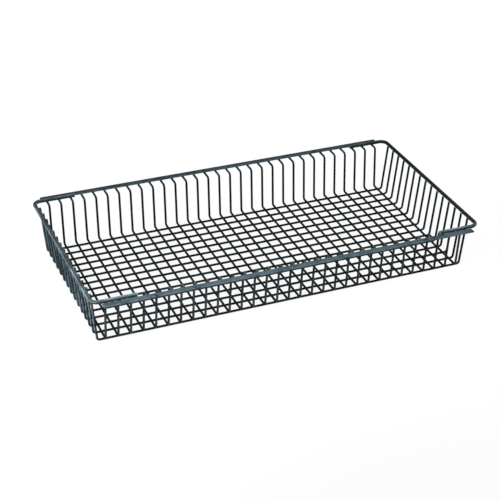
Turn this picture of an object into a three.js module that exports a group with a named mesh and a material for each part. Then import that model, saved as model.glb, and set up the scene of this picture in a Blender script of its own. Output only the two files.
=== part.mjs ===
// Wire cart basket: a shallow open tray of welded wire that hangs by the flanges of its long sides.
// Millimetres. +X runs along the basket, +Y across it, +Z up.
// The origin is the middle of the floor, on the plane that the undersides of the long wires stand on.
import * as THREE from "three";

// Mesh
const PITCH = 25.4; // square mesh, centre to centre
const CROSS_COUNT = 31; // wires that run across the basket
const LONG_COUNT = 15; // wires that run along the basket
const WIRE_D = 4.76; // mesh wire, across the flats of its drawn section
const WELD_LINE = 0.05; // line left open between two welded pieces

// Walls, as lines through the wire centres
const SIDE_MARGIN = 9.5; // from the last long wire to the foot of a side wall
const SIDE_LEAN = 0.0767; // outward run per unit of height
const SIDE_BEND_R = 4.5; // bend from floor to side wall
const END_MARGIN = 13.9; // from the last cross wire to the foot of an end wall
const END_LEAN = 0.096; // outward run per unit of height
const END_BEND_R = 5.5; // bend from floor to end wall

// Flange at the top of the side walls
const FLANGE_RISE = 93.7; // height of the flange wires over the floor part of the same wires
const FLANGE_BEND_R = 6; // bend from side wall to flange

// Flat strip on each flange
const STRIP_WIDTH = 12.7;
const STRIP_THICK = 3;
const STRIP_EDGE = 0.4; // small bevel of its long edges
const STRIP_OVERHANG = 12; // how far it runs past the last cross wire
const STRIP_GAP = 1.5; // open slot between the strip and the rod's leg

// Thicker rod round each end
const ROD_D = 7.94; // across the flats of its drawn section
const ROD_CORNER_R = 15;
const LEG_WIRE_COUNT = 3; // cross wires that each of its legs lies on
const LEG_OVERHANG = 8.2; // how far a leg runs past the last of them
const LEG_SETBACK = 4.5; // from the end of the flange's bend to the side of a leg
const WIRE_STAND = 1.5; // how far the end wall wires pass the rod's middle height

// Drawing
const SECTION_SIDES = 8;
const BEND_STEPS = 4;

// Plan of the floor
const LAST_CROSS_X = (PITCH * (CROSS_COUNT - 1)) / 2;
const LAST_LONG_Y = (PITCH * (LONG_COUNT - 1)) / 2;
const SIDE_WALL_Y = LAST_LONG_Y + SIDE_MARGIN;
const END_WALL_X = LAST_CROSS_X + END_MARGIN;

// Heights, from the floor up
const LONG_FLOOR_Z = WIRE_D / 2;
const CROSS_FLOOR_Z = LONG_FLOOR_Z + WIRE_D + WELD_LINE;
const FLANGE_Z = CROSS_FLOOR_Z + FLANGE_RISE;
const FLANGE_SEAT_Z = FLANGE_Z + WIRE_D / 2 + WELD_LINE; // what lies on the flange starts here
const ROD_Z = FLANGE_SEAT_Z + ROD_D / 2;
const END_WIRE_TOP_Z = ROD_Z + WIRE_STAND;

// The flange, outwards from the side wall: bend, rod leg, open slot, strip
const FLANGE_CORNER_Y = SIDE_WALL_Y + SIDE_LEAN * FLANGE_RISE;
const FLANGE_TURN = Math.PI / 2 - Math.atan(SIDE_LEAN);
const FLANGE_FLAT_Y = FLANGE_CORNER_Y + FLANGE_BEND_R * Math.tan(FLANGE_TURN / 2);
const ROD_LEG_Y = FLANGE_FLAT_Y + LEG_SETBACK + ROD_D / 2;
const STRIP_INNER_Y = ROD_LEG_Y + ROD_D / 2 + STRIP_GAP;
const STRIP_MIDDLE_Y = STRIP_INNER_Y + STRIP_WIDTH / 2; // the flange wires stop under it

// Lengthwise reach of the strip and of the rod's legs
const STRIP_LENGTH = 2 * (LAST_CROSS_X + STRIP_OVERHANG);
const ROD_LEG_END_X = LAST_CROSS_X - PITCH * (LEG_WIRE_COUNT - 1) - LEG_OVERHANG;

// Where an end wall wire stands at a given height.
function endWallX(z) {
  return END_WALL_X + END_LEAN * (z - LONG_FLOOR_Z);
}

// The rod lies outside the end wall wires, whose tops reach out furthest and touch it.
const END_WIRE_REACH = (WIRE_D / 2) * Math.cos(Math.atan(END_LEAN));
const ROD_END_X = endWallX(END_WIRE_TOP_Z) + END_WIRE_REACH + WELD_LINE + ROD_D / 2;

// A wire's centre line: straight runs with round bends. Every knot keeps its own direction,
// so that the straight runs come out as true prisms.
class BentLine extends THREE.Curve {
  constructor(corners, bendRadii) {
    super();
    this.knots = [];
    const last = corners.length - 1;
    const heading = (i) => corners[i + 1].clone().sub(corners[i]).normalize();
    this.addKnot(corners[0], heading(0));
    for (let i = 1; i < last; i++) {
      this.addBend(corners[i], heading(i - 1), heading(i), bendRadii[i - 1]);
    }
    this.addKnot(corners[last], heading(last - 1));
  }

  addKnot(point, tangent) {
    this.knots.push({ point: point.clone(), tangent: tangent.clone() });
  }

  addBend(corner, before, after, radius) {
    const turn = before.angleTo(after);
    const start = corner.clone().addScaledVector(before, -radius * Math.tan(turn / 2));
    const inward = after.clone().addScaledVector(before, -after.dot(before)).normalize();
    for (let k = 0; k <= BEND_STEPS; k++) {
      const angle = (turn * k) / BEND_STEPS;
      const point = start.clone();
      point.addScaledVector(before, radius * Math.sin(angle));
      point.addScaledVector(inward, radius * (1 - Math.cos(angle)));
      const tangent = before.clone().multiplyScalar(Math.cos(angle));
      tangent.addScaledVector(inward, Math.sin(angle));
      this.addKnot(point, tangent);
    }
  }

  knotAt(u) {
    return this.knots[Math.round(u * (this.knots.length - 1))];
  }

  getPointAt(u) {
    return this.knotAt(u).point.clone();
  }

  getTangentAt(u) {
    return this.knotAt(u).tangent.clone();
  }
}

// Section with flats on all four sides, so that crossing wires meet flat on flat.
function wireSection(acrossFlats) {
  const cornerRadius = acrossFlats / 2 / Math.cos(Math.PI / SECTION_SIDES);
  const points = [];
  for (let k = 0; k < SECTION_SIDES; k++) {
    const angle = ((2 * k + 1) * Math.PI) / SECTION_SIDES;
    points.push(new THREE.Vector2(cornerRadius * Math.cos(angle), cornerRadius * Math.sin(angle)));
  }
  return new THREE.Shape(points);
}

function bentWire(acrossFlats, corners, bendRadii) {
  const path = new BentLine(corners, bendRadii);
  const steps = path.knots.length - 1;
  return new THREE.ExtrudeGeometry(wireSection(acrossFlats), { steps, extrudePath: path });
}

// One wire from flange end to flange end: down a side wall, over the floor and up the other wall.
function crossWire(x) {
  const half = [
    [STRIP_MIDDLE_Y, FLANGE_Z],
    [FLANGE_CORNER_Y, FLANGE_Z],
    [SIDE_WALL_Y, CROSS_FLOOR_Z],
  ];
  const front = half.map(([y, z]) => new THREE.Vector3(x, -y, z));
  const back = half.map(([y, z]) => new THREE.Vector3(x, y, z)).reverse();
  const bends = [FLANGE_BEND_R, SIDE_BEND_R, SIDE_BEND_R, FLANGE_BEND_R];
  return bentWire(WIRE_D, [...front, ...back], bends);
}

// One wire from end to end: down an end wall, under the cross wires and up the other end wall.
function longWire(y) {
  const half = [
    [endWallX(END_WIRE_TOP_Z), END_WIRE_TOP_Z],
    [END_WALL_X, LONG_FLOOR_Z],
  ];
  const left = half.map(([x, z]) => new THREE.Vector3(-x, y, z));
  const right = half.map(([x, z]) => new THREE.Vector3(x, y, z)).reverse();
  return bentWire(WIRE_D, [...left, ...right], [END_BEND_R, END_BEND_R]);
}

// The rod of one end: leg, corner, end, corner, leg. The side is -1 on the left and 1 on the right.
function endRim(side) {
  const corners = [
    new THREE.Vector3(side * ROD_LEG_END_X, -ROD_LEG_Y, ROD_Z),
    new THREE.Vector3(side * ROD_END_X, -ROD_LEG_Y, ROD_Z),
    new THREE.Vector3(side * ROD_END_X, ROD_LEG_Y, ROD_Z),
    new THREE.Vector3(side * ROD_LEG_END_X, ROD_LEG_Y, ROD_Z),
  ];
  return bentWire(ROD_D, corners, [ROD_CORNER_R, ROD_CORNER_R]);
}

// The flat strip of one side, lying on the flange wires. The side is -1 in front and 1 at the back.
function sideStrip(side) {
  const w = STRIP_WIDTH / 2;
  const t = STRIP_THICK / 2;
  const e = STRIP_EDGE;
  const profile = new THREE.Shape([
    new THREE.Vector2(-w + e, -t),
    new THREE.Vector2(w - e, -t),
    new THREE.Vector2(w, -t + e),
    new THREE.Vector2(w, t - e),
    new THREE.Vector2(w - e, t),
    new THREE.Vector2(-w + e, t),
    new THREE.Vector2(-w, t - e),
    new THREE.Vector2(-w, -t + e),
  ]);
  const strip = new THREE.ExtrudeGeometry(profile, { depth: STRIP_LENGTH, bevelEnabled: false });
  strip.rotateX(Math.PI / 2);
  strip.rotateZ(Math.PI / 2);
  strip.translate(-STRIP_LENGTH / 2, side * STRIP_MIDDLE_Y, FLANGE_SEAT_Z + t);
  return strip;
}

const basket = new THREE.Group();
basket.name = "wire_cart_basket";

// Dark coated steel. Each piece has its own material.
function addPiece(name, geometry) {
  const coat = new THREE.MeshStandardMaterial({ color: 0x23282c, roughness: 0.45, metalness: 0.35 });
  const mesh = new THREE.Mesh(geometry, coat);
  mesh.name = name;
  basket.add(mesh);
}

// Evenly spaced places either side of the middle.
function places(count) {
  return Array.from({ length: count }, (_, i) => (i - (count - 1) / 2) * PITCH);
}

const numbered = (word, i) => word + "_" + String(i + 1).padStart(2, "0");

places(CROSS_COUNT).forEach((x, i) => addPiece(numbered("cross_wire", i), crossWire(x)));
places(LONG_COUNT).forEach((y, i) => addPiece(numbered("long_wire", i), longWire(y)));
addPiece("end_rim_left", endRim(-1));
addPiece("end_rim_right", endRim(1));
addPiece("side_strip_front", sideStrip(-1));
addPiece("side_strip_back", sideStrip(1));

export default basket;
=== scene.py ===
"""Looks of the wire cart basket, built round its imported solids. Metres, in the frame of the solids."""
import math
import random

import bpy
from mathutils import Matrix, Vector


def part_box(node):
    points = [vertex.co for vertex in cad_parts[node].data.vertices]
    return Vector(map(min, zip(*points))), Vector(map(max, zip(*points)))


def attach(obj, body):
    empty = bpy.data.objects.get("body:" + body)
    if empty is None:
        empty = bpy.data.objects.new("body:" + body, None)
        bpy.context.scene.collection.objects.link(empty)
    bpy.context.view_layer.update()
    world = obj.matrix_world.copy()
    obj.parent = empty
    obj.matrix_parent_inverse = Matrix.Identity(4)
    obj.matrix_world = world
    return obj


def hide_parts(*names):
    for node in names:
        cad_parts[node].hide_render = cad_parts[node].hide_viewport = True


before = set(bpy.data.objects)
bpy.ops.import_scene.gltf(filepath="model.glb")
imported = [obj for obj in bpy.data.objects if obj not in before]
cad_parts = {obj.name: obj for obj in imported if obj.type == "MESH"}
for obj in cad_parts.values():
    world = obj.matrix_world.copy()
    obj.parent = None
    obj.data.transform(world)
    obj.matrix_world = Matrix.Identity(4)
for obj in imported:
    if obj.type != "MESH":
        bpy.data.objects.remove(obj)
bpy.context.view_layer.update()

# How the wires are bent: the rest of their shape is read from the boxes of the solids.
SIDE_MARGIN = 0.0095  # last long wire to the foot of a side wall
SIDE_LEAN = 0.0767  # outward run per unit of height
SIDE_BEND = 0.0045
FLANGE_BEND = 0.006
END_MARGIN = 0.0139  # last cross wire to the foot of an end wall
END_LEAN = 0.096
END_BEND = 0.0055
ROD_CORNER = 0.015

# Edges
CUT_EDGE = 0.0009  # rounding of the cut ends under the coat
CUT_WEAR = 2 * CUT_EDGE  # how far from a cut end its wear has faded
STRIP_EDGE = 0.0007  # rounding of the flat strips' long edges
STRIP_WEAR = STRIP_EDGE / 2  # how far on to the flats the wear of these edges fades

# Welds
WELD_SEED = 31
WELD_REACH = 0.0010  # gap between two wires that the weld and the coat still fill
WELD_SPREAD = 0.15  # how much that varies from weld to weld
COLLAR_WAIST = 0.8  # width of a collar at its hollow middle, against its rims
COLLAR_TUCK = 0.85  # width of a collar where it ends inside the wires
COLLAR_DEPTH = 0.2  # how deep inside them it ends, in radii of the wire
SEAM_SECTION = [(0.2, 0.1), (1.0, 0.1), (0.75, -0.4), (0.95, -1.0), (0.5, -0.9)]  # across and up
SEAM_TAPER = 0.4  # size of a seam at its two ends

# Wear of the coat, and painted highlight on its lit faces, where 1 is worn through
PEAK_WEAR_AND_SHEEN = 0.8  # where things rub most, and the palest painted highlight on lit faces
STRIP_TOP_SHEEN = 0.3  # painted sheen on top of a strip
LEG_SHEEN = 0.8  # painted highlight on top of a rim's legs, as a share of the peak above
LEFT_INSIDE_SHEEN = 0.75  # painted highlight on the inside of the left rim, as a share of the peak above
RIM_OUTSIDE_RISE = 0.6  # how far up the painted highlight on the outside of a rim faces, per unit outward
RIM_INSIDE_RISE = 1.0  # the same for its inside

# How closely the painted highlight keeps to the side that faces the light
WALL_NARROW = 5
FLANGE_NARROW = 2
END_WALL_NARROW = 2
LEG_NARROW = 8
RIM_NARROW = 13

# Coat: scale and detail of its noises, the spans of them that count, and what these make
CLOUD_NOISE = (60, 5)
PATCH_NOISE = (22, 4)
FLECK_NOISE = (130, 3)
GRAIN_NOISE = (900, 3)
CLOUD_SPAN = (0.4, 0.75)
CLOUD_THIN = (0, 1)
FLECK_SPAN = (0.45, 0.57)
FLECK_THIN = (0, 0.8)
PATCH_SPAN = (0.40, 0.62)
PATCH_THIN = (0, 0.5)
PATCH_WEAR_AND_SHEEN = (0.35, 1)
GRAIN_SPAN = (0.35, 0.6)
GRAIN_WEAR_AND_SHEEN = (0.5, 1)
ROUGH_SPAN = (0.3, 0.7)
ROUGHNESS = (0.30, 0.46)
PEEL_STRENGTH = 0.15
PEEL_HEIGHT = 0.0002

# How finely things are drawn
WIRE_SIDES = 20
BEND_STEPS = 10
EDGE_STEPS = 4
COLLAR_SIDES = 14

# Camera, as the photograph was taken
CAMERA_AZIMUTH = math.radians(-22.97)
CAMERA_ELEVATION = math.radians(30.70)
CAMERA_ROLL = math.radians(1.01)
CAMERA_DISTANCE = 2.917
CAMERA_AIM = Vector((-0.00307, 0.00727, 0.01626))
CAMERA_LENS = 99.67  # in mm, as is the sensor
SENSOR_WIDTH = 36
VIEW_DEPTH = 60

# Light
SUN_STRENGTH = 0.35
SUN_PLACE = Vector((-1.05, -0.90, 2.55))
SUN_TARGET = Vector((0, 0, 0))
SUN_SPREAD = math.radians(70)
KEY_POWER = 3.9
KEY_PLACE = Vector((-0.18, -0.43, 0.38))
KEY_TARGET = Vector((-0.18, -0.20, 0.10))
KEY_SIZE = (1.4, 0.25)
SIDE_POWER = 3.4
SIDE_PLACE = Vector((-0.82, -0.40, 0.30))
SIDE_TARGET = Vector((-0.42, 0, 0.08))
SIDE_SIZE = (0.6, 0.2)
AMBIENT = 0.09

# Floor, and the white that the camera sees
FLOOR_HALF = 12.0
FLOOR_SHADE = 0.14
FLOOR_ROUGHNESS = 0.9
LIT_SPOT = Vector((-0.30, -0.32, 0))  # middle of the part of the floor that the lamps light most
GLOW_REACH = (0.12, 0.85)  # distances from it between which the glow rises
FLOOR_GLOW = (0.865, 0.990)  # the glow there: with the light of the lamps it makes white
GLOW_LENGTHWISE = 0.55  # how much distance along the basket counts, against across it

WHITE = (1, 1, 1, 1)
X, Y, Z = Vector((1, 0, 0)), Vector((0, 1, 0)), Vector((0, 0, 1))

random.seed(WELD_SEED)


# Shapes

def bent_line(corners, radii):
    """Points and headings along straight runs that are joined by round bends."""
    line = [(corners[0], (corners[1] - corners[0]).normalized())]
    for before, corner, after, radius in zip(corners, corners[1:], corners[2:], radii):
        a = (corner - before).normalized()
        b = (after - corner).normalized()
        turn = a.angle(b)
        inward = (b - a * a.dot(b)).normalized()
        start = corner - a * radius * math.tan(turn / 2)
        for k in range(BEND_STEPS + 1):
            t = turn * k / BEND_STEPS
            point = start + a * radius * math.sin(t) + inward * radius * (1 - math.cos(t))
            line.append((point, a * math.cos(t) + inward * math.sin(t)))
    line.append((corners[-1], (corners[-1] - corners[-2]).normalized()))
    return line


def mesh_piece(name, shape, material):
    """A new piece from vertices, faces and how pale each vertex is, from wear and from painted highlight
    on lit faces.
    """
    verts, faces, wear_and_sheen = shape
    mesh = bpy.data.meshes.new(name)
    mesh.from_pydata(verts, [], faces)
    mesh.polygons.foreach_set("use_smooth", [True] * len(mesh.polygons))
    mesh.attributes.new("wear_and_sheen", "FLOAT", "POINT").data.foreach_set("value", wear_and_sheen)
    mesh.materials.append(material)
    piece = bpy.data.objects.new(name, mesh)
    bpy.context.scene.collection.objects.link(piece)
    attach(piece, "root")
    return piece


def sweep(line, plane_normal, section, ring_wear_and_sheen):
    """A section carried along a line in one plane, with rounded cut ends.

    The section holds pairs: how far along the plane's normal, and how far to the side of the line.
    The last argument gives how pale each of them is on a ring, from wear and painted highlight; the cut
    ends are worn all round.
    """
    eased = [(1 - math.cos(a), 1 - math.sin(a)) for a in
             (math.pi / 2 * k / EDGE_STEPS for k in range(EDGE_STEPS))]
    (first, first_heading), (last, last_heading) = line[0], line[-1]
    rings = [(first + first_heading * CUT_EDGE * back, first_heading, CUT_EDGE * inset, 1.0)
             for inset, back in reversed(eased)]
    rings.append((first + first_heading * CUT_WEAR, first_heading, 0.0, 0.0))
    rings += [(point, heading, 0.0, 0.0) for point, heading in line[1:-1]]
    rings.append((last - last_heading * CUT_WEAR, last_heading, 0.0, 0.0))
    rings += [(last - last_heading * CUT_EDGE * back, last_heading, CUT_EDGE * inset, 1.0)
              for inset, back in eased]
    verts, wear_and_sheen, faces = [], [], []
    n = len(section)
    for point, heading, inset, cut in rings:
        side = heading.cross(plane_normal)
        for (a, b), r in zip(section, ring_wear_and_sheen(point, heading)):
            size = math.hypot(a, b)
            k = (size - inset) / size
            verts.append(point + plane_normal * a * k + side * b * k)
            wear_and_sheen.append(max(r, cut))
    for ring in range(len(rings) - 1):
        for k in range(n):
            a, b = ring * n + k, ring * n + (k + 1) % n
            faces.append((a, b, b + n, a + n))
    faces.append(tuple(reversed(range(n))))
    faces.append(tuple(range(len(verts) - n, len(verts))))
    return verts, faces, wear_and_sheen


def round_section(radius):
    turn = [2 * math.pi * k / WIRE_SIDES for k in range(WIRE_SIDES)]
    return [(radius * math.cos(t), radius * math.sin(t)) for t in turn]


def side_sheen(section, toward, narrow):
    """How much painted highlight each point of a round section gets: painted paler on the side it points
    toward, as if lit there.
    """
    facing = [Vector(point).normalized().dot(Vector(toward)) for point in section]
    return [PEAK_WEAR_AND_SHEEN * ((1 + f) / 2) ** narrow for f in facing]


def strip_section(thick, wide):
    """A flat bar's section with rounded corners, and how pale each of its points is: worn on the rounded
    edges, with a painted sheen on the top.
    """
    points, ring_wear_and_sheen = [], []
    for corner in range(4):
        start = corner * math.pi / 2
        stop = start + math.pi / 2
        h = math.copysign(thick / 2 - STRIP_EDGE, math.cos(start + math.pi / 4))
        w = math.copysign(wide / 2 - STRIP_EDGE, math.sin(start + math.pi / 4))
        points.append((h + STRIP_EDGE * math.cos(start) + STRIP_WEAR * math.sin(start),
                       w + STRIP_EDGE * math.sin(start) - STRIP_WEAR * math.cos(start)))
        for k in range(EDGE_STEPS + 1):
            t = start + math.pi / 2 * k / EDGE_STEPS
            points.append((h + STRIP_EDGE * math.cos(t), w + STRIP_EDGE * math.sin(t)))
        points.append((h + STRIP_EDGE * math.cos(stop) - STRIP_WEAR * math.sin(stop),
                       w + STRIP_EDGE * math.sin(stop) + STRIP_WEAR * math.cos(stop)))
        ring_wear_and_sheen += [0.0] + [PEAK_WEAR_AND_SHEEN] * (EDGE_STEPS + 1) + [0.0]
    # The first and the last point bound the top, which gets a painted sheen.
    ring_wear_and_sheen[0] = ring_wear_and_sheen[-1] = STRIP_TOP_SHEEN
    return points, ring_wear_and_sheen


class Welds:
    """Many small fillets in one mesh."""

    def __init__(self):
        self.verts, self.faces = [], []

    def join(self, rings):
        """Joins rings of equal length and closes both ends."""
        base, n = len(self.verts), len(rings[0])
        for ring in rings:
            self.verts += ring
        for r in range(len(rings) - 1):
            for k in range(n):
                a, b = base + r * n + k, base + r * n + (k + 1) % n
                self.faces.append((a, a + n, b + n, b))
        self.faces.append(tuple(range(base, base + n)))
        end = base + n * len(rings)
        self.faces.append(tuple(reversed(range(end - n, end))))

    def reach(self):
        return WELD_REACH * random.uniform(1 - WELD_SPREAD, 1 + WELD_SPREAD)

    def crossing(self, at, normal, upper_axis, upper_r, lower_r):
        """The hollow collar round the point where two crossed rods touch.

        The normal points to the upper one.
        """
        lower_axis = normal.cross(upper_axis)
        reach = self.reach()
        wide_square = reach * (2 * upper_r - reach)
        long_square = reach * (2 * lower_r - reach)
        rings = [[], [], [], [], []]
        for k in range(COLLAR_SIDES):
            t = 2 * math.pi * k / COLLAR_SIDES
            along, across = math.cos(t), math.sin(t)
            radius = 1 / math.sqrt(along ** 2 / long_square + across ** 2 / wide_square)
            over = upper_r - math.sqrt(upper_r ** 2 - (radius * across) ** 2)
            under = math.sqrt(lower_r ** 2 - (radius * along) ** 2) - lower_r
            profile = [
                (COLLAR_TUCK, over + COLLAR_DEPTH * upper_r),
                (1.0, over),
                (COLLAR_WAIST, (over + under) / 2),
                (1.0, under),
                (COLLAR_TUCK, under - COLLAR_DEPTH * lower_r),
            ]
            out = upper_axis * along + lower_axis * across
            for ring, (share, level) in zip(rings, profile):
                ring.append(at + out * radius * share + normal * level)
        self.join(rings)

    def seam(self, start, end, side, radius):
        """The hollow fillets along both sides of a wire that lies under a plate.

        Start and end are on the plate.
        """
        run = (end - start).normalized()
        reach = self.reach()
        wide = math.sqrt(2 * radius * reach)
        stations = [(start, SEAM_TAPER), (start + run * reach, 1.0),
                    (end - run * reach, 1.0), (end, SEAM_TAPER)]
        for hand in (side, -side):
            rings = [[at + hand * wide * w * k + Z * reach * h * k for w, h in SEAM_SECTION]
                     for at, k in stations]
            if hand.cross(Z).dot(run) < 0:
                rings = [list(reversed(ring)) for ring in rings]
            self.join(rings)

    def shape(self):
        return self.verts, self.faces, [0.0] * len(self.verts)


def middle(node):
    lo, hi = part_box(node)
    return (Vector(lo) + Vector(hi)) / 2


# Sizes that the solids hold
cross_nodes = sorted(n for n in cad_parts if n.startswith("cross_wire"))
long_nodes = sorted(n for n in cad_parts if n.startswith("long_wire"))
cross_lo, cross_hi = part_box(cross_nodes[0])
long_lo, long_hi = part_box(long_nodes[0])
rod_lo, rod_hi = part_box("end_rim_right")
strip_lo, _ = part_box("side_strip_back")

wire_r = (cross_hi[0] - cross_lo[0]) / 2
rod_r = (rod_hi[2] - rod_lo[2]) / 2
cross_z = cross_lo[2] + wire_r
flange_z = cross_hi[2] - wire_r
flange_end_y = cross_hi[1]
long_z = long_lo[2] + wire_r
wire_top_z = long_hi[2] - wire_r * math.sin(math.atan(END_LEAN))
rod_z = rod_lo[2] + rod_r
rod_end_x = rod_hi[0] - rod_r
rod_leg_y = rod_hi[1] - rod_r
rod_leg_end_x = rod_lo[0]
side_foot_y = middle(long_nodes[-1]).y + SIDE_MARGIN
end_foot_x = middle(cross_nodes[-1]).x + END_MARGIN
wire_top_x = end_foot_x + END_LEAN * (wire_top_z - long_z)


# Materials

def spread(tree, value, start, stop):
    """Carries a value from one span to another, and holds it there."""
    span = tree.nodes.new("ShaderNodeMapRange")
    for key, number in zip(("From Min", "From Max", "To Min", "To Max"), (*start, *stop)):
        span.inputs[key].default_value = number
    tree.links.new(value, span.inputs["Value"])
    return span.outputs["Result"]


def product(tree, first, second):
    times = tree.nodes.new("ShaderNodeMath")
    times.operation = "MULTIPLY"
    tree.links.new(first, times.inputs[0])
    tree.links.new(second, times.inputs[1])
    return times.outputs["Value"]


def coat(name, colour, paler, worn_and_lit, gloss):
    """Dark coat on steel: mottled, with a fine orange peel, and paler where the mesh's attribute says:
    worn at cut ends and strip edges, painted highlight where faces are lit.

    Where it is thin, its colour is as many times paler as given.
    """
    material = bpy.data.materials.new(name)
    material.use_nodes = True
    tree = material.node_tree
    node = tree.nodes.new
    link = tree.links.new
    shader = tree.nodes["Principled BSDF"]
    shader.inputs["Specular IOR Level"].default_value = gloss
    place = node("ShaderNodeTexCoord").outputs["Object"]

    def noise(scale, detail):
        texture = node("ShaderNodeTexNoise")
        texture.inputs["Scale"].default_value = scale
        texture.inputs["Detail"].default_value = detail
        link(place, texture.inputs["Vector"])
        return texture.outputs["Fac"]

    def blend(share, first, second):
        mix = node("ShaderNodeMix")
        mix.data_type = "RGBA"
        link(share, mix.inputs["Factor"])
        for socket, colour_in in (("A", first), ("B", second)):
            if isinstance(colour_in, tuple):
                mix.inputs[socket].default_value = (*colour_in, 1)
            else:
                link(colour_in, mix.inputs[socket])
        return mix.outputs["Result"]

    cloud = noise(*CLOUD_NOISE)
    patches = noise(*PATCH_NOISE)
    flecks = noise(*FLECK_NOISE)
    grain = noise(*GRAIN_NOISE)
    thin = tuple(c * paler for c in colour)
    mottled = blend(spread(tree, cloud, CLOUD_SPAN, CLOUD_THIN), colour, thin)
    flecked = blend(spread(tree, flecks, FLECK_SPAN, FLECK_THIN), mottled, thin)
    uneven = blend(spread(tree, patches, PATCH_SPAN, PATCH_THIN), flecked, thin)

    # Paler where the mesh attribute says so: real wear, and painted highlight on lit faces, broken up by
    # patches and grain.
    wear_and_sheen = node("ShaderNodeAttribute")
    wear_and_sheen.attribute_name = "wear_and_sheen"
    patchy = product(tree, wear_and_sheen.outputs["Fac"], spread(tree, patches, PATCH_SPAN, PATCH_WEAR_AND_SHEEN))
    broken = product(tree, patchy, spread(tree, grain, GRAIN_SPAN, GRAIN_WEAR_AND_SHEEN))
    link(blend(broken, uneven, worn_and_lit), shader.inputs["Base Color"])

    link(spread(tree, cloud, ROUGH_SPAN, ROUGHNESS), shader.inputs["Roughness"])
    bump = node("ShaderNodeBump")
    bump.inputs["Strength"].default_value = PEEL_STRENGTH
    bump.inputs["Distance"].default_value = PEEL_HEIGHT
    link(grain, bump.inputs["Height"])
    link(bump.outputs["Normal"], shader.inputs["Normal"])
    return material


# The last colour of each coat is its pale one: real wear at cut ends and strip edges, and painted
# highlight where faces are lit.
cross_coat = coat("cross_wire_coat", colour=(0.0055, 0.0085, 0.010), paler=1.5,
                  worn_and_lit=(0.11, 0.155, 0.175), gloss=0.02)
long_coat = coat("long_wire_coat", colour=(0.005, 0.0078, 0.0092), paler=1.5,
                 worn_and_lit=(0.23, 0.35, 0.415), gloss=0.02)
rim_coat = coat("rim_coat", colour=(0.012, 0.019, 0.022), paler=1.5,
                worn_and_lit=(0.50, 0.67, 0.755), gloss=0.03)
strip_coat = coat("strip_coat", colour=(0.0106, 0.0165, 0.0214), paler=6.5,
                  worn_and_lit=(0.158, 0.217, 0.243), gloss=0.03)


# Wires, rods and strips

def place_piece(node, shape, material):
    piece = mesh_piece(node + "_coated", shape, material)
    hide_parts(node)


def cross_wire(node):
    x = middle(node).x
    corner_y = side_foot_y + SIDE_LEAN * (flange_z - cross_z)
    half = [(flange_end_y, flange_z), (corner_y, flange_z), (side_foot_y, cross_z)]
    corners = [Vector((x, -y, z)) for y, z in half] + [Vector((x, y, z)) for y, z in reversed(half)]
    line = bent_line(corners, [FLANGE_BEND, SIDE_BEND, SIDE_BEND, FLANGE_BEND])
    section = round_section(wire_r)
    outside = side_sheen(section, (0, 1), WALL_NARROW)
    inside = side_sheen(section, (0, -1), FLANGE_NARROW)

    def ring_wear_and_sheen(at, heading):
        """Painted light: the outside of the floor and walls is painted paler as if lit, and the top of
        the flanges gets a painted highlight.
        """
        on_flange = 1 - heading.z ** 2 if at.z > flange_z - FLANGE_BEND else 0
        return [o + (i - o) * on_flange for o, i in zip(outside, inside)]

    place_piece(node, sweep(line, X, section, ring_wear_and_sheen), cross_coat)


def long_wire(node):
    y = middle(node).y
    corners = [Vector((-wire_top_x, y, wire_top_z)), Vector((-end_foot_x, y, long_z)),
               Vector((end_foot_x, y, long_z)), Vector((wire_top_x, y, wire_top_z))]
    line = bent_line(corners, [END_BEND, END_BEND])
    section = round_section(wire_r)
    # Painted light: the outsides of the end walls are painted paler, as if lit from the side.
    outside = side_sheen(section, (0, -1), END_WALL_NARROW)
    shape = sweep(line, Y, section, lambda at, heading: outside)
    place_piece(node, shape, long_coat)


def end_rim(node, side):
    plan = [(rod_leg_end_x, -rod_leg_y), (rod_end_x, -rod_leg_y),
            (rod_end_x, rod_leg_y), (rod_leg_end_x, rod_leg_y)]
    line = bent_line([Vector((side * x, y, rod_z)) for x, y in plan], [ROD_CORNER, ROD_CORNER])
    section = round_section(rod_r)
    # Painted highlights on the lit crests of the rod: on top of the legs, outside the end, and inside
    # the end of the left rim only.
    top = side_sheen(section, (1, 0), LEG_NARROW)
    outside = side_sheen(section, Vector((RIM_OUTSIDE_RISE, side)).normalized(), RIM_NARROW)
    inside = side_sheen(section, Vector((RIM_INSIDE_RISE, -side)).normalized(), RIM_NARROW)
    inside_share = LEFT_INSIDE_SHEEN if side < 0 else 0
    end = [o + inside_share * i for o, i in zip(outside, inside)]

    def ring_wear_and_sheen(at, heading):
        """Painted highlight on top of the legs, on the outside of the end and, on the left, on its
        inside too.
        """
        at_end = abs(heading.y)
        return [LEG_SHEEN * t * (1 - at_end) + e * at_end for t, e in zip(top, end)]

    place_piece(node, sweep(line, Z, section, ring_wear_and_sheen), rim_coat)


def side_strip(node):
    lo, hi = (Vector(v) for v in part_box(node))
    at = (lo + hi) / 2
    line = [(Vector((lo.x, at.y, at.z)), X), (Vector((hi.x, at.y, at.z)), X)]
    # Worn edges, and a painted sheen on the top of the strip.
    section, edge_wear_and_top_sheen = strip_section(hi.z - lo.z, hi.y - lo.y)
    shape = sweep(line, Z, section, lambda at, heading: edge_wear_and_top_sheen)
    place_piece(node, shape, strip_coat)


for name in cross_nodes:
    cross_wire(name)
for name in long_nodes:
    long_wire(name)
end_rim("end_rim_left", -1)
end_rim("end_rim_right", 1)
side_strip("side_strip_front")
side_strip("side_strip_back")


# Welds

cross_xs = [middle(n).x for n in cross_nodes]
long_ys = [middle(n).y for n in long_nodes]

floor_welds = Welds()
for x in cross_xs:
    for y in long_ys:
        floor_welds.crossing(Vector((x, y, (cross_z + long_z) / 2)), Z, Y, wire_r, wire_r)

strip_welds = Welds()
for x in cross_xs:
    for hand in (-1, 1):
        start = Vector((x, hand * strip_lo[1], strip_lo[2]))
        end = Vector((x, hand * flange_end_y, strip_lo[2]))
        strip_welds.seam(start, end, X, wire_r)

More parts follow.
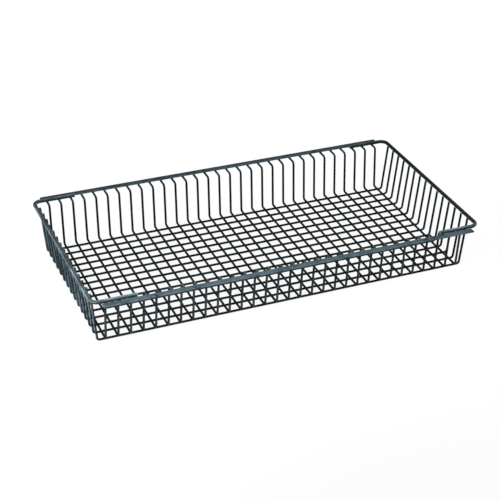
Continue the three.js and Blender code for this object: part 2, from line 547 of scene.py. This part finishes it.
rim_welds = Welds()
for hand in (-1, 1):
    for side in (-1, 1):
        for x in (x for x in cross_xs if side * x > rod_leg_end_x):
            rim_welds.crossing(Vector((x, hand * rod_leg_y, rod_lo[2])), Z, X, rod_r, wire_r)
for side in (-1, 1):
    for y in long_ys:
        touch = Vector((side * (rod_end_x - rod_r), y, rod_z))
        rim_welds.crossing(touch, X * side, Y, rod_r, wire_r)

mesh_piece("floor_welds", floor_welds.shape(), cross_coat)
mesh_piece("strip_welds", strip_welds.shape(), cross_coat)
mesh_piece("rim_welds", rim_welds.shape(), rim_coat)


# Stage

def white_where_seen(tree):
    """1 for the camera and for what is seen by gloss or through something, else 0."""
    path = tree.nodes.new("ShaderNodeLightPath")
    seen = path.outputs["Is Camera Ray"]
    for ray in ("Is Glossy Ray", "Is Transmission Ray"):
        either = tree.nodes.new("ShaderNodeMath")
        either.operation = "MAXIMUM"
        tree.links.new(seen, either.inputs[0])
        tree.links.new(path.outputs[ray], either.inputs[1])
        seen = either.outputs["Value"]
    return seen


def white_ground():
    """Pale floor that is seen as white, with the object's soft shadow kept."""
    material = bpy.data.materials.new("white_ground")
    material.use_nodes = True
    tree = material.node_tree
    shader = tree.nodes["Principled BSDF"]
    shader.inputs["Base Color"].default_value = (FLOOR_SHADE, FLOOR_SHADE, FLOOR_SHADE, 1)
    shader.inputs["Roughness"].default_value = FLOOR_ROUGHNESS
    shader.inputs["Specular IOR Level"].default_value = 0.0
    shader.inputs["Emission Color"].default_value = WHITE
    place = tree.nodes.new("ShaderNodeMapping")
    place.vector_type = "TEXTURE"
    place.inputs["Location"].default_value = LIT_SPOT
    place.inputs["Scale"].default_value = (1 / GLOW_LENGTHWISE, 1, 1)
    tree.links.new(tree.nodes.new("ShaderNodeTexCoord").outputs["Object"], place.inputs["Vector"])
    away = tree.nodes.new("ShaderNodeVectorMath")
    away.operation = "LENGTH"
    tree.links.new(place.outputs["Vector"], away.inputs[0])
    glow = spread(tree, away.outputs["Value"], GLOW_REACH, FLOOR_GLOW)
    tree.links.new(product(tree, white_where_seen(tree), glow), shader.inputs["Emission Strength"])
    return material


def floor():
    verts = [Vector((sx * FLOOR_HALF, sy * FLOOR_HALF, 0))
             for sx, sy in ((-1, -1), (1, -1), (1, 1), (-1, 1))]
    mesh = bpy.data.meshes.new("floor")
    mesh.from_pydata(verts, [], [(0, 1, 2, 3)])
    mesh.materials.append(white_ground())
    ground = bpy.data.objects.new("floor", mesh)
    bpy.context.scene.collection.objects.link(ground)


def lamp(name, kind, place, target, power):
    data = bpy.data.lights.new(name, kind)
    data.energy = power
    holder = bpy.data.objects.new(name, data)
    holder.location = place
    holder.rotation_mode = "QUATERNION"
    holder.rotation_quaternion = (target - place).to_track_quat("-Z", "Y")
    holder.visible_camera = False
    bpy.context.scene.collection.objects.link(holder)
    return data


def studio():
    world = bpy.data.worlds.new("studio")
    world.use_nodes = True
    tree = world.node_tree
    back = tree.nodes["Background"]
    back.inputs["Color"].default_value = WHITE
    strength = spread(tree, white_where_seen(tree), (0, 1), (AMBIENT, 1))
    tree.links.new(strength, back.inputs["Strength"])
    bpy.context.scene.world = world
    sun = lamp("sun", "SUN", SUN_PLACE, SUN_TARGET, SUN_STRENGTH)
    sun.angle = SUN_SPREAD
    key = lamp("key", "AREA", KEY_PLACE, KEY_TARGET, KEY_POWER)
    key.shape = "RECTANGLE"
    key.size, key.size_y = KEY_SIZE
    side = lamp("side", "AREA", SIDE_PLACE, SIDE_TARGET, SIDE_POWER)
    side.shape = "RECTANGLE"
    side.size, side.size_y = SIDE_SIZE


def camera():
    data = bpy.data.cameras.new("photo_camera")
    data.sensor_width = SENSOR_WIDTH
    data.lens = CAMERA_LENS
    data.clip_end = VIEW_DEPTH
    back = Vector((math.sin(CAMERA_AZIMUTH) * math.cos(CAMERA_ELEVATION),
                   -math.cos(CAMERA_AZIMUTH) * math.cos(CAMERA_ELEVATION),
                   math.sin(CAMERA_ELEVATION)))
    right = Z.cross(back).normalized()
    up = back.cross(right)
    turned = right * math.cos(CAMERA_ROLL) + up * math.sin(CAMERA_ROLL)
    rotation = Matrix((turned, back.cross(turned), back)).transposed()
    view = bpy.data.objects.new("photo_camera", data)
    view.matrix_world = Matrix.Translation(CAMERA_AIM + back * CAMERA_DISTANCE) @ rotation.to_4x4()
    bpy.context.scene.collection.objects.link(view)
    bpy.context.scene.camera = view


floor()
studio()
camera()
bpy.context.scene.view_settings.view_transform = "Standard"
